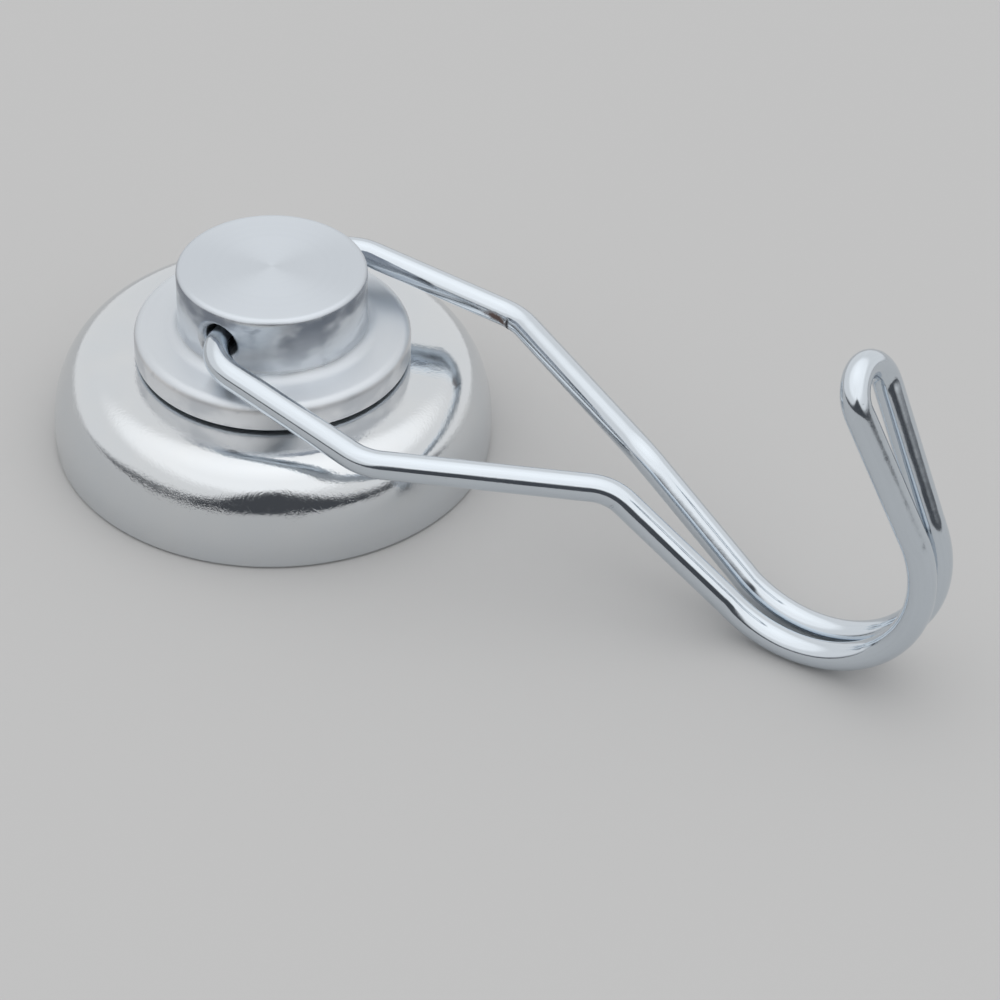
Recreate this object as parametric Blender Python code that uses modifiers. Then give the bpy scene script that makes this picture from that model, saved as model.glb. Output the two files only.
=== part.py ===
"""Swivelling magnetic hook: a pot magnet, a turned swivel head and a bent wire hook.

Metres, +Z up. The origin is the centre of the magnet's face, which lies on the steel surface at z = 0.
+Z points away from that surface and +X runs along the hook, whose belly rests on the same surface.
"""
import math

import bmesh
import bpy
from mathutils import Vector

# Clearances
SEAT_GAP = 0.0003            # between pieces that seat on, or run in, each other
SWIVEL_GAP = 0.0004          # open slit between the pot and the flange of the head
BORE_CLEARANCE = 0.0004      # round the wire in the cross bore, on the radius

# Steel pot
POT_DIAMETER = 0.036
POT_HEIGHT = 0.0081
POT_WALL = 0.0026
POT_SHOULDER_WIDTH = 0.0036  # how far the rounded shoulder reaches in from the side
POT_SHOULDER_DROP = 0.0065   # how far it reaches down from the top
POT_RIM_CHAMFER = 0.0002

# Magnet and the resin that holds it
MAGNET_THICKNESS = 0.0035
MAGNET_CHAMFER = 0.0002
RESIN_WIDTH = 0.0018         # ring of resin between the magnet and the pot's wall
RESIN_RECESS = 0.0003        # resin surface behind the magnet's face

# Retainer under the pot's web
RETAINING_WASHER_DIAMETER = 0.012
RETAINING_WASHER_THICKNESS = 0.0008
SCREW_HEAD_DIAMETER = 0.007
SCREW_HEAD_HEIGHT = 0.0010
SCREW_DIAMETER = 0.004
SCREW_CHAMFER = 0.0003
SCREW_REACH = 0.0054         # screw length above its head
SCREW_HOLE_SPARE = 0.0003    # hole left empty past the screw's end

# Thrust washer let into the flange
THRUST_WASHER_THICKNESS = 0.0006

# Turned swivel head
SHANK_DIAMETER = 0.0078
FLANGE_DIAMETER = 0.0224
FLANGE_THICKNESS = 0.00215
FLANGE_LIP_WIDTH = 0.0019    # rim of the flange outside the washer's seat
FLANGE_TOP_ROUND = 0.0005
FLANGE_LOWER_ROUND = 0.0002
KNOB_DIAMETER = 0.0153
KNOB_EDGE_ROUND = 0.0003
KNOB_BASE_FILLET = 0.0010
BORE_ABOVE_FLANGE = 0.0027   # axis of the cross bore above the flange's top face
BORE_BELOW_END = 0.00295     # the same axis below the knob's end face
BORE_CHAMFER = 0.00045

# Wire hook, one strand at +Y and its twin at -Y
WIRE_DIAMETER = 0.0022
WIRE_END_INSET = 0.0050      # wire inside the knob, measured in from the knob's side
ARM_CLEARANCE = 0.00095      # between the knob's side and the arm that turns past it
ARM_SPLAY = 0.0017           # how much farther out the first bend lies than the arm's start
ARM_RUN = 0.0163             # pot axis to the first bend, along X
FIRST_BEND_HEIGHT = 0.0110
MIDDLE_RUN = 0.0167          # first bend to the second, along X
SECOND_BEND_GAP = 0.0030     # clear space between the strands at the second bend
SECOND_BEND_HEIGHT = 0.0100
DROP_RUN = 0.0158            # second bend to the lowest point of the belly, along X
END_BEND_RADIUS = 0.0036
ARM_BEND_RADIUS = 0.0045
BELLY_RADIUS = 0.0095
BELLY_ENTRY_GAP = 0.0009     # clear space between the strands where they reach the belly
BELLY_EXIT_GAP = 0.0005      # and where they leave it
RETURN_LEG_TILT = math.radians(27.5)
RETURN_LEG_LENGTH = 0.0116
TIP_GAP = 0.0024             # clear space inside the tip's bend

# Facets
TURNED_STEPS = 72
HIDDEN_STEPS = 48
BORE_STEPS = 36
ROUND_STEPS = 4
SHOULDER_STEPS = 10
WIRE_BEND_STEPS = 9
BELLY_STEPS = 28
WIRE_RINGS = 5
SMOOTH_ANGLE = math.radians(30)
MERGE_DISTANCE = 0.00001
CUTTER_OVERRUN = 0.0010      # how far a cutter stands out of what it cuts

# Derived radii, from the pot's wall inwards and from the flange's edge inwards
pot_radius = POT_DIAMETER / 2
cavity_radius = pot_radius - POT_WALL
resin_radius = cavity_radius - SEAT_GAP
magnet_radius = resin_radius - RESIN_WIDTH - SEAT_GAP
flange_radius = FLANGE_DIAMETER / 2
washer_seat_radius = flange_radius - FLANGE_LIP_WIDTH
thrust_washer_radius = washer_seat_radius - SEAT_GAP
knob_radius = KNOB_DIAMETER / 2
shank_radius = SHANK_DIAMETER / 2
wire_radius = WIRE_DIAMETER / 2

# Derived heights, from the surface up
web_underside = MAGNET_THICKNESS + SEAT_GAP
screw_head_base = MAGNET_THICKNESS + SEAT_GAP
screw_head_top = screw_head_base + SCREW_HEAD_HEIGHT
retaining_washer_base = screw_head_top + SEAT_GAP
retaining_washer_top = retaining_washer_base + RETAINING_WASHER_THICKNESS
recess_ceiling = retaining_washer_top + SEAT_GAP
thrust_washer_base = POT_HEIGHT + SEAT_GAP
thrust_washer_top = thrust_washer_base + THRUST_WASHER_THICKNESS
flange_base = POT_HEIGHT + SWIVEL_GAP
flange_top = flange_base + FLANGE_THICKNESS
pivot_height = flange_top + BORE_ABOVE_FLANGE
knob_top = pivot_height + BORE_BELOW_END


def arc(centre, radii, start, end, steps):
    """Points of an elliptical arc in the profile plane, from angle start to angle end."""
    points = []
    for step in range(steps + 1):
        angle = start + (end - start) * step / steps
        points.append((centre[0] + radii[0] * math.cos(angle), centre[1] + radii[1] * math.sin(angle)))
    return points


def outer_round(radius, height, size):
    """Rounded outer edge that starts on a face at the given height and turns down a side."""
    return arc((radius - size, height - size), (size, size), math.pi / 2, 0, ROUND_STEPS)


def lower_round(radius, height, size):
    """Rounded outer edge that comes down a side and turns in along a face below."""
    return arc((radius - size, height + size), (size, size), 0, -math.pi / 2, ROUND_STEPS)


def make_material(name, colour, roughness, metallic):
    """Plain surface of one piece."""
    material = bpy.data.materials.new(name)
    material.use_nodes = True
    surface = material.node_tree.nodes["Principled BSDF"]
    surface.inputs["Base Color"].default_value = (*colour, 1)
    surface.inputs["Roughness"].default_value = roughness
    surface.inputs["Metallic"].default_value = metallic
    return material


def add_object(name, data, collection, material=None):
    """Object in its collection, with its material."""
    piece = bpy.data.objects.new(name, data)
    collection.objects.link(piece)
    if material is not None:
        data.materials.append(material)
    return piece


def turned(name, profile, steps, collection, material=None, closed=False):
    """Turned piece: a profile of radius and height pairs, spun about Z with a Screw modifier."""
    mesh = bpy.data.meshes.new(name)
    build = bmesh.new()
    corners = [build.verts.new((radius, 0, height)) for radius, height in profile]
    pairs = list(zip(corners, corners[1:]))
    if closed:
        pairs.append((corners[-1], corners[0]))
    for first, second in pairs:
        build.edges.new((first, second))
    build.to_mesh(mesh)
    build.free()
    piece = add_object(name, mesh, collection, material)
    spin = piece.modifiers.new("Spin", "SCREW")
    spin.steps = steps
    spin.render_steps = steps
    spin.use_merge_vertices = True
    spin.merge_threshold = MERGE_DISTANCE
    return piece


def ring_profile(outer_radius, inner_radius, top, base):
    """Closed section of a flat ring."""
    return [(inner_radius, top), (outer_radius, top), (outer_radius, base), (inner_radius, base)]


def settle(piece):
    """Turns a piece's curve or modifiers into its mesh, welds it and shades it smooth between sharp edges."""
    graph = bpy.context.evaluated_depsgraph_get()
    mesh = bpy.data.meshes.new_from_object(piece.evaluated_get(graph))
    weld = bmesh.new()
    weld.from_mesh(mesh)
    bmesh.ops.remove_doubles(weld, verts=weld.verts, dist=MERGE_DISTANCE)
    weld.to_mesh(mesh)
    weld.free()
    mesh.shade_smooth()
    mesh.set_sharp_from_angle(angle=SMOOTH_ANGLE)
    settled = bpy.data.objects.new(piece.name, mesh)
    settled.matrix_world = piece.matrix_world
    collection = piece.users_collection[0]
    name = piece.name
    bpy.data.objects.remove(piece)
    settled.name = name
    mesh.name = name
    collection.objects.link(settled)
    return settled


def pot_profile():
    """Section of the pot: flat top, wide rounded shoulder, plain rim, and the stepped bore inside."""
    bore_radius = shank_radius + SEAT_GAP
    recess_radius = RETAINING_WASHER_DIAMETER / 2 + SEAT_GAP
    shoulder_centre = (pot_radius - POT_SHOULDER_WIDTH, POT_HEIGHT - POT_SHOULDER_DROP)
    shoulder = arc(shoulder_centre, (POT_SHOULDER_WIDTH, POT_SHOULDER_DROP), math.pi / 2, 0, SHOULDER_STEPS)
    outside = [(bore_radius, POT_HEIGHT)] + shoulder
    rim = [(pot_radius, POT_RIM_CHAMFER), (pot_radius - POT_RIM_CHAMFER, 0), (cavity_radius, 0)]
    inside = [
        (cavity_radius, web_underside),
        (recess_radius, web_underside),
        (recess_radius, recess_ceiling),
        (bore_radius, recess_ceiling),
    ]
    return outside + rim + inside


def head_profile():
    """Section of the turned head: knob, fillet, flange, washer seat, shank and the screw's hole."""
    hole_radius = SCREW_DIAMETER / 2 + SEAT_GAP
    washer_seat_ceiling = thrust_washer_top + SEAT_GAP
    fillet_centre = (knob_radius + KNOB_BASE_FILLET, flange_top + KNOB_BASE_FILLET)
    fillet_radii = (KNOB_BASE_FILLET, KNOB_BASE_FILLET)
    knob = [(0, knob_top)] + outer_round(knob_radius, knob_top, KNOB_EDGE_ROUND)
    fillet = arc(fillet_centre, fillet_radii, math.pi, 3 * math.pi / 2, ROUND_STEPS)
    flange = outer_round(flange_radius, flange_top, FLANGE_TOP_ROUND)
    flange += lower_round(flange_radius, flange_base, FLANGE_LOWER_ROUND)
    underside = [
        (washer_seat_radius, flange_base),
        (washer_seat_radius, washer_seat_ceiling),
        (shank_radius, washer_seat_ceiling),
        (shank_radius, recess_ceiling),
    ]
    hole_top = screw_head_top + SCREW_REACH + SCREW_HOLE_SPARE
    hole = [(hole_radius, recess_ceiling), (hole_radius, hole_top), (0, hole_top)]
    return knob + fillet + flange + underside + hole


def bore_cutter_profile():
    """Section of the cross bore's cutter: a spindle that flares past the chamfer at each mouth."""
    bore_radius = wire_radius + BORE_CLEARANCE
    end = knob_radius + CUTTER_OVERRUN
    flare = bore_radius + BORE_CHAMFER + CUTTER_OVERRUN
    throat = knob_radius - BORE_CHAMFER
    return [(0, end), (flare, end), (bore_radius, throat), (bore_radius, -throat), (flare, -end), (0, -end)]


def screw_profile():
    """Section of the retaining screw: plain shank above a low flat head."""
    screw_radius = SCREW_DIAMETER / 2
    head_radius = SCREW_HEAD_DIAMETER / 2
    screw_top = screw_head_top + SCREW_REACH
    return [
        (0, screw_top),
        (screw_radius - SCREW_CHAMFER, screw_top),
        (screw_radius, screw_top - SCREW_CHAMFER),
        (screw_radius, screw_head_top),
        (head_radius, screw_head_top),
        (head_radius, screw_head_base + SCREW_CHAMFER),
        (head_radius - SCREW_CHAMFER, screw_head_base),
        (0, screw_head_base),
    ]


def rounded_corner(before, corner, after, radius, steps):
    """Arc of the given radius that replaces one corner of a path."""
    back = (before - corner).normalized()
    ahead = (after - corner).normalized()
    half_angle = back.angle(ahead) / 2
    centre = corner + (back + ahead).normalized() * radius / math.sin(half_angle)
    tangent = radius / math.tan(half_angle)
    start = corner + back * tangent - centre
    end = corner + ahead * tangent - centre
    turn = start.angle(end)
    points = []
    for step in range(steps + 1):
        share = step / steps
        start_part = start * math.sin((1 - share) * turn)
        end_part = end * math.sin(share * turn)
        points.append(centre + (start_part + end_part) / math.sin(turn))
    return points


def belly_entry_angle(belly_z):
    """Heading at which the straight run from the second bend meets the belly's circle tangentially."""
    fall = belly_z - SECOND_BEND_HEIGHT
    distance = math.hypot(DROP_RUN, fall)
    return math.atan2(fall, DROP_RUN) - math.asin(BELLY_RADIUS / distance)


def strand_path():
    """Centre line of the strand at +Y, from its end in the bore to the middle of the tip."""
    arm_half_width = knob_radius + ARM_CLEARANCE + wire_radius
    second_bend_reach = ARM_RUN + MIDDLE_RUN
    belly_reach = second_bend_reach + DROP_RUN
    belly_z = wire_radius + BELLY_RADIUS
    entry = belly_entry_angle(belly_z)
    leave = math.pi / 2 + RETURN_LEG_TILT
    belly = []
    for step in range(BELLY_STEPS + 1):
        share = step / BELLY_STEPS
        heading = entry + (leave - entry) * share
        half_gap = (BELLY_ENTRY_GAP + (BELLY_EXIT_GAP - BELLY_ENTRY_GAP) * share) / 2
        x = belly_reach + BELLY_RADIUS * math.sin(heading)
        z = belly_z - BELLY_RADIUS * math.cos(heading)
        belly.append(Vector((x, wire_radius + half_gap, z)))
    wire_end = Vector((0, knob_radius - WIRE_END_INSET, pivot_height))
    arm_start = Vector((0, arm_half_width, pivot_height))
    first_bend = Vector((ARM_RUN, arm_half_width + ARM_SPLAY, FIRST_BEND_HEIGHT))
    second_bend = Vector((second_bend_reach, wire_radius + SECOND_BEND_GAP / 2, SECOND_BEND_HEIGHT))
    path = [wire_end]
    path += rounded_corner(wire_end, arm_start, first_bend, END_BEND_RADIUS, WIRE_BEND_STEPS)
    path += rounded_corner(arm_start, first_bend, second_bend, ARM_BEND_RADIUS, WIRE_BEND_STEPS)
    path += rounded_corner(first_bend, second_bend, belly[0], ARM_BEND_RADIUS, WIRE_BEND_STEPS)
    path += belly
    heading = Vector((math.cos(leave), 0, math.sin(leave)))
    tip_centre = Vector((belly[-1].x, 0, belly[-1].z)) + heading * RETURN_LEG_LENGTH
    tip_radius = wire_radius + TIP_GAP / 2
    for step in range(WIRE_BEND_STEPS + 1):
        angle = math.pi / 2 * step / WIRE_BEND_STEPS
        across = Vector((0, tip_radius * math.cos(angle), 0))
        path.append(tip_centre + across + heading * tip_radius * math.sin(angle))
    return path


def wire_curve(name, collection, material):
    """Whole wire as one round curve, in the frame of the cross bore's axis."""
    half = strand_path()
    other_half = [Vector((point.x, -point.y, point.z)) for point in half]
    points = other_half + half[-2::-1]
    curve = bpy.data.curves.new(name, "CURVE")
    curve.dimensions = "3D"
    curve.bevel_depth = wire_radius
    curve.bevel_resolution = WIRE_RINGS
    curve.use_fill_caps = True
    spline = curve.splines.new("POLY")
    spline.points.add(len(points) - 1)
    for target, point in zip(spline.points, points):
        target.co = (point.x, point.y, point.z - pivot_height, 1)
    return add_object(name, curve, collection, material)


def add_axis(name, location, collection, parent=None):
    """Empty that marks a joint's axis."""
    axis = bpy.data.objects.new(name, None)
    axis.empty_display_size = POT_HEIGHT
    axis.location = location
    axis.parent = parent
    collection.objects.link(axis)
    return axis


def clear_scene():
    for item in list(bpy.data.objects):
        bpy.data.objects.remove(item)


def build():
    clear_scene()
    scene = bpy.context.scene
    parts = bpy.data.collections.new("magnetic_hook")
    cutters = bpy.data.collections.new("cutters")
    scene.collection.children.link(parts)
    scene.collection.children.link(cutters)

    nickel = make_material("satin_nickel", (0.62, 0.61, 0.58), 0.22, 1)
    bright_nickel = make_material("magnet_nickel", (0.60, 0.60, 0.59), 0.18, 1)
    resin = make_material("black_resin", (0.02, 0.02, 0.022), 0.5, 0)
    polymer = make_material("washer_polymer", (0.05, 0.05, 0.05), 0.45, 0)
    aluminium = make_material("turned_aluminium", (0.72, 0.73, 0.74), 0.28, 1)
    zinc = make_material("zinc_steel", (0.55, 0.56, 0.57), 0.35, 1)
    dark_steel = make_material("screw_steel", (0.30, 0.30, 0.31), 0.4, 1)
    chrome = make_material("bright_wire", (0.68, 0.70, 0.73), 0.10, 1)

    # Pot, magnet and resin
    settle(turned("pot_cup", pot_profile(), TURNED_STEPS, parts, nickel, closed=True))
    magnet_section = [
        (0, MAGNET_THICKNESS),
        (magnet_radius - MAGNET_CHAMFER, MAGNET_THICKNESS),
        (magnet_radius, MAGNET_THICKNESS - MAGNET_CHAMFER),
        (magnet_radius, MAGNET_CHAMFER),
        (magnet_radius - MAGNET_CHAMFER, 0),
        (0, 0),
    ]
    settle(turned("disc_magnet", magnet_section, HIDDEN_STEPS, parts, bright_nickel))
    resin_section = ring_profile(resin_radius, magnet_radius + SEAT_GAP, MAGNET_THICKNESS, RESIN_RECESS)
    settle(turned("resin_ring", resin_section, HIDDEN_STEPS, parts, resin, closed=True))

    # Washers and screw round the shank
    shank_clear = shank_radius + SEAT_GAP
    thrust_section = ring_profile(thrust_washer_radius, shank_clear, thrust_washer_top, thrust_washer_base)
    settle(turned("thrust_washer", thrust_section, HIDDEN_STEPS, parts, polymer, closed=True))
    swivel_axis = add_axis("swivel_axis", (0, 0, 0), parts)
    screw_clear = SCREW_DIAMETER / 2 + SEAT_GAP
    retaining_section = ring_profile(
        RETAINING_WASHER_DIAMETER / 2, screw_clear, retaining_washer_top, retaining_washer_base)
    washer = settle(turned("retaining_washer", retaining_section, HIDDEN_STEPS, parts, zinc, closed=True))
    washer.parent = swivel_axis
    screw = settle(turned("retaining_screw", screw_profile(), HIDDEN_STEPS, parts, dark_steel))
    screw.parent = swivel_axis

    # Turned head with its cross bore
    bore_cutter = turned("bore_cutter", bore_cutter_profile(), BORE_STEPS, cutters)
    bore_cutter.rotation_euler = (math.pi / 2, 0, 0)
    bore_cutter.location = (0, 0, pivot_height)
    bore_cutter.hide_render = True
    bore_cutter.display_type = "WIRE"
    head = turned("swivel_head", head_profile(), TURNED_STEPS, parts, aluminium)
    cross_bore = head.modifiers.new("Cross bore", "BOOLEAN")
    cross_bore.operation = "DIFFERENCE"
    cross_bore.object = bore_cutter
    bpy.context.view_layer.update()
    head = settle(head)
    head.parent = swivel_axis

    # Wire hook on the cross bore's axis
    hook_axis = add_axis("hook_axis", (0, 0, pivot_height), parts, swivel_axis)
    hook = settle(wire_curve("wire_hook", parts, chrome))
    hook.parent = hook_axis


build()
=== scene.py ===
# %% [markdown]
# # Dressing a swivelling magnetic hook
#
# A pot magnet holds this hook to a steel sheet. A turned aluminium head swivels on the pot, and a
# bent wire swings in a hole bored across the head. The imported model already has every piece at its
# true size and place. This lesson loads it as a fixed frame, lays surfaces over it that are finer
# than its facets, and gives every piece the finish of the real one: plated steel, turned aluminium,
# bright wire and black resin.

# %% Load the fixed frame
import math

import bmesh
import bpy
import numpy as np
from mathutils import Matrix, Vector


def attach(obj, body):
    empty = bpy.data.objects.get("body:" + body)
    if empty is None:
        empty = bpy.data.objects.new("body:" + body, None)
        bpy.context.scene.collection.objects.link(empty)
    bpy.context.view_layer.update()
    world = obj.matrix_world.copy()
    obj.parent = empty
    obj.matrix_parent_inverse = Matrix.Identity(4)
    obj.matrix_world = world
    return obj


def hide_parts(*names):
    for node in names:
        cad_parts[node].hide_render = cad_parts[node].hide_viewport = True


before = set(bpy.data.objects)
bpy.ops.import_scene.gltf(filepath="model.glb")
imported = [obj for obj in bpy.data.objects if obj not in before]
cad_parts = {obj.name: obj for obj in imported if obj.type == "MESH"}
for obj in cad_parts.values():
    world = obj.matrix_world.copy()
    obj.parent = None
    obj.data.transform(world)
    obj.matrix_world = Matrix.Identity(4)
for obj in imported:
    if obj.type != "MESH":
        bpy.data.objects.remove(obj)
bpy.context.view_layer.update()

MM = 0.001
print("nodes:", sorted(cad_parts))

# %% [markdown]
# ## The camera
#
# The photograph was taken with a long lens from the front right, looking down. The numbers below
# come from fitting circles of known roundness, such as the pot's rim and the knob's edge, to their
# outlines. A camera is easiest to place by three directions: backwards from its aim, to its right,
# and up.

# %% Camera
CAMERA_AIM = Vector((27.0, 0.0, 7.2)) * MM
CAMERA_AZIMUTH = math.radians(29.716)
CAMERA_ELEVATION = math.radians(39.092)
CAMERA_ROLL = math.radians(2.557)
CAMERA_DISTANCE = 229.736 * MM
CAMERA_SLIDE_RIGHT = -4.568 * MM
CAMERA_SLIDE_UP = -2.078 * MM
CAMERA_LENS = 106.0


def camera_directions(azimuth, elevation, roll):
    """Right, up and backward directions. The level right one is turned by the roll about the backward
    one."""
    level = Vector((math.cos(azimuth), math.sin(azimuth), 0.0))
    away = Vector((math.sin(azimuth), -math.cos(azimuth), 0.0))
    back = away * math.cos(elevation) + Vector((0.0, 0.0, math.sin(elevation)))
    right = level * math.cos(roll) + back.cross(level) * math.sin(roll)
    return right, back.cross(right), back


camera = bpy.data.objects.new("camera", bpy.data.cameras.new("camera"))
bpy.context.scene.collection.objects.link(camera)
right, up, back = camera_directions(CAMERA_AZIMUTH, CAMERA_ELEVATION, CAMERA_ROLL)
eye = CAMERA_AIM + back * CAMERA_DISTANCE + right * CAMERA_SLIDE_RIGHT + up * CAMERA_SLIDE_UP
camera.matrix_world = Matrix.Translation(eye) @ Matrix((right, up, back)).transposed().to_4x4()
camera.data.lens = CAMERA_LENS
camera.data.clip_start = 10 * MM
bpy.context.scene.camera = camera
bpy.context.scene.view_settings.view_transform = "Standard"
print("camera at", [round(value / MM, 1) for value in eye], "mm")

# %% [markdown]
# ## Working with nodes
#
# Every finish is a small network of nodes. These helpers keep the cells that build them short. The
# first adds a node and fills or links its inputs, and each of the others does one step of the work
# and returns its result.

# %% Node helpers
NOISE_RANGE = (0.3, 0.7)


def add_node(tree, kind, inputs=None, **settings):
    """Adds a node, sets its properties, and fills each named or numbered input with a value or a
    link."""
    node = tree.nodes.new(kind)
    for name, value in settings.items():
        setattr(node, name, value)
    for name, value in (inputs or {}).items():
        if isinstance(value, bpy.types.NodeSocket):
            tree.links.new(value, node.inputs[name])
        else:
            node.inputs[name].default_value = value
    return node


def calculate(tree, operation, *values, clamp=False):
    """Result of one Math node on sockets or numbers."""
    inputs = dict(enumerate(values))
    return add_node(tree, "ShaderNodeMath", inputs, operation=operation, use_clamp=clamp).outputs[0]


def vector_math(tree, operation, *values):
    """Result of one Vector Math node: a number for a length or a dot product, or else a vector."""
    node = add_node(tree, "ShaderNodeVectorMath", dict(enumerate(values)), operation=operation)
    return node.outputs["Value" if operation in ("DOT_PRODUCT", "LENGTH") else "Vector"]


def turned_about(tree, vector, axis, angle):
    """Vector turned about an axis."""
    inputs = {"Vector": vector, "Axis": axis, "Angle": angle}
    return add_node(tree, "ShaderNodeVectorRotate", inputs, rotation_type="AXIS_ANGLE").outputs[0]


def split_up(tree, vector):
    """The X, Y and Z numbers of a vector."""
    return add_node(tree, "ShaderNodeSeparateXYZ", {0: vector}).outputs


def remap(tree, value, from_low, from_high, to_low, to_high, smooth=False):
    """Value stretched from one range to another and held inside it."""
    kind = "SMOOTHSTEP" if smooth else "LINEAR"
    limits = {"From Min": from_low, "From Max": from_high, "To Min": to_low, "To Max": to_high}
    inputs = {"Value": value, **limits}
    return add_node(tree, "ShaderNodeMapRange", inputs, interpolation_type=kind).outputs["Result"]


def mix_colours(tree, share, first, second):
    """Colour between two others; the share may be a number or a socket."""
    node = add_node(tree, "ShaderNodeMix", data_type="RGBA")
    for number, value in ((0, share), (6, first), (7, second)):
        if isinstance(value, bpy.types.NodeSocket):
            tree.links.new(value, node.inputs[number])
        else:
            node.inputs[number].default_value = value if number == 0 else (*value, 1.0)
    return node.outputs[2]


def noise(tree, place, scale, detail=2.0, roughness=0.5):
    """Noise between 0 and 1 at a place. Nearly all of it lies inside NOISE_RANGE."""
    inputs = {"Vector": place, "Scale": scale, "Detail": detail, "Roughness": roughness}
    return add_node(tree, "ShaderNodeTexNoise", inputs).outputs["Fac"]


# %% [markdown]
# ## The stage
#
# Polished metal is a picture of the room round it, so the room matters as much as the finish. The
# floor is a plain pale sheet in a light tent: pale walls, a brighter roof with one wide soft lamp in
# it, and a dim arch low on the camera's side where the tent is open. That arch is what draws the
# dark line along the wire and the dark patch on the front of the pot. Without it, bright metal on a
# pale sheet would show no shape.

# %% Floor
FLOOR_RADIUS = 2000 * MM
FLOOR_DROP = 0.05 * MM
FLOOR_STEPS = 96
FLOOR_COLOUR = (0.53, 0.53, 0.53)
FLOOR_ROUGHNESS = 0.7
FLOOR_GLOSS = 0.2

turn = np.linspace(0, 2 * np.pi, FLOOR_STEPS, endpoint=False)
level = np.full(FLOOR_STEPS, -FLOOR_DROP)
rim = np.column_stack((FLOOR_RADIUS * np.cos(turn), FLOOR_RADIUS * np.sin(turn), level))
floor_mesh = bpy.data.meshes.new("floor")
floor_mesh.from_pydata(rim.tolist(), [], [list(range(FLOOR_STEPS))])
floor = bpy.data.objects.new("floor", floor_mesh)
bpy.context.scene.collection.objects.link(floor)
floor_finish = bpy.data.materials.new("pale_floor")
floor_finish.use_nodes = True
sheet = floor_finish.node_tree.nodes["Principled BSDF"]
sheet.inputs["Base Color"].default_value = (*FLOOR_COLOUR, 1.0)
sheet.inputs["Roughness"].default_value = FLOOR_ROUGHNESS
sheet.inputs["Specular IOR Level"].default_value = FLOOR_GLOSS
floor_mesh.materials.append(floor_finish)

# %% [markdown]
# The tent is drawn on the world by direction. The arch's top is a bell curve of the distance
# sideways from its middle, E exp(-(s / w)^2), and a low slit carries on from it round the sides. The
# roof begins where a direction is within a set distance of a point near the zenith.

# %% Tent
TENT_WALL = (0.84, 0.84, 0.84)
TENT_ROOF = (1.13, 1.13, 1.13)
TENT_OPENING = (0.07, 0.074, 0.082)
UPRIGHT = (0.0, 0.0, 1.0)
ROOF_HEIGHTS = (math.radians(30), math.radians(46))
ROOF_TILT = math.radians(9)
OPENING_AZIMUTH = math.radians(-56)
OPENING_HALF_WIDTH = math.radians(24)
OPENING_TOP = math.radians(26)
OPENING_EDGE = (math.radians(-6), math.radians(5))
SLIT_TOP = math.radians(9)
SLIT_ENDS = (math.radians(60), math.radians(110))

world = bpy.data.worlds.new("light_tent")
bpy.context.scene.world = world
world.use_nodes = True
tree = world.node_tree
direction = add_node(tree, "ShaderNodeTexCoord").outputs["Generated"]
facing = turned_about(tree, direction, UPRIGHT, -OPENING_AZIMUTH)
part = split_up(tree, facing)
height = calculate(tree, "ARCSINE", part["Z"])
bearing = calculate(tree, "ARCTAN2", part["Y"], part["X"])
sideways = calculate(tree, "ABSOLUTE", bearing)
roof_middle = (math.sin(ROOF_TILT), 0.0, math.cos(ROOF_TILT))
towards_roof = vector_math(tree, "DOT_PRODUCT", facing, roof_middle)
roof_height = calculate(tree, "ARCSINE", towards_roof)
covered = remap(tree, roof_height, *ROOF_HEIGHTS, 0.0, 1.0, smooth=True)
walls = mix_colours(tree, covered, TENT_WALL, TENT_ROOF)
spread = calculate(tree, "DIVIDE", sideways, OPENING_HALF_WIDTH)
spread_squared = calculate(tree, "POWER", spread, 2.0)
bell = calculate(tree, "EXPONENT", calculate(tree, "MULTIPLY", spread_squared, -1.0))
arch = calculate(tree, "MULTIPLY", bell, OPENING_TOP)
slit = remap(tree, sideways, *SLIT_ENDS, SLIT_TOP, 0.0, smooth=True)
opening = calculate(tree, "ADD", arch, slit)
above = calculate(tree, "SUBTRACT", height, opening)
closed = remap(tree, above, *OPENING_EDGE, 0.0, 1.0, smooth=True)
tent = mix_colours(tree, closed, TENT_OPENING, walls)
tree.links.new(tent, tree.nodes["Background"].inputs["Color"])

# %% [markdown]
# The lamp's spread is narrowed to the angle at which its edge still reaches the object below its
# middle. Narrowing gathers the light round the way the lamp faces, and the power is divided by that
# gain, so that the lamp's middle looks as bright as before.

# %% Lamp
LAMP_HEIGHT = 550 * MM
LAMP_WIDTH = 800 * MM
LAMP_RADIANCE = 0.16

lamp = bpy.data.lights.new("roof_lamp", "AREA")
lamp.shape = "DISK"
lamp.size = LAMP_WIDTH
edge_slope = LAMP_WIDTH / 2 / LAMP_HEIGHT
lamp.spread = 2 * math.atan(edge_slope)
spread_gain = edge_slope / (edge_slope - math.atan(edge_slope))
lamp_area = math.pi * LAMP_WIDTH**2 / 4
lamp.energy = math.pi * lamp_area * LAMP_RADIANCE / spread_gain
roof_lamp = bpy.data.objects.new("roof_lamp", lamp)
roof_lamp.location = (CAMERA_AIM.x, CAMERA_AIM.y, LAMP_HEIGHT)
bpy.context.scene.collection.objects.link(roof_lamp)
print("lamp power", round(lamp.energy, 3), "W for a radiance of", LAMP_RADIANCE, "at its middle")

# %% [markdown]
# ## Making surfaces from grids
#
# Each new piece is a surface that is worked out as one array: a function of two parameters, sampled
# on a grid. Point (i, j) of the grid is joined to its neighbours by quads. Pieces made of several
# grids are welded where the grids share points, which also closes their seams and poles.

# %% Grid helpers
WELD_DISTANCE = 0.0001 * MM
SHARP_ANGLE = math.radians(32)


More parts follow.
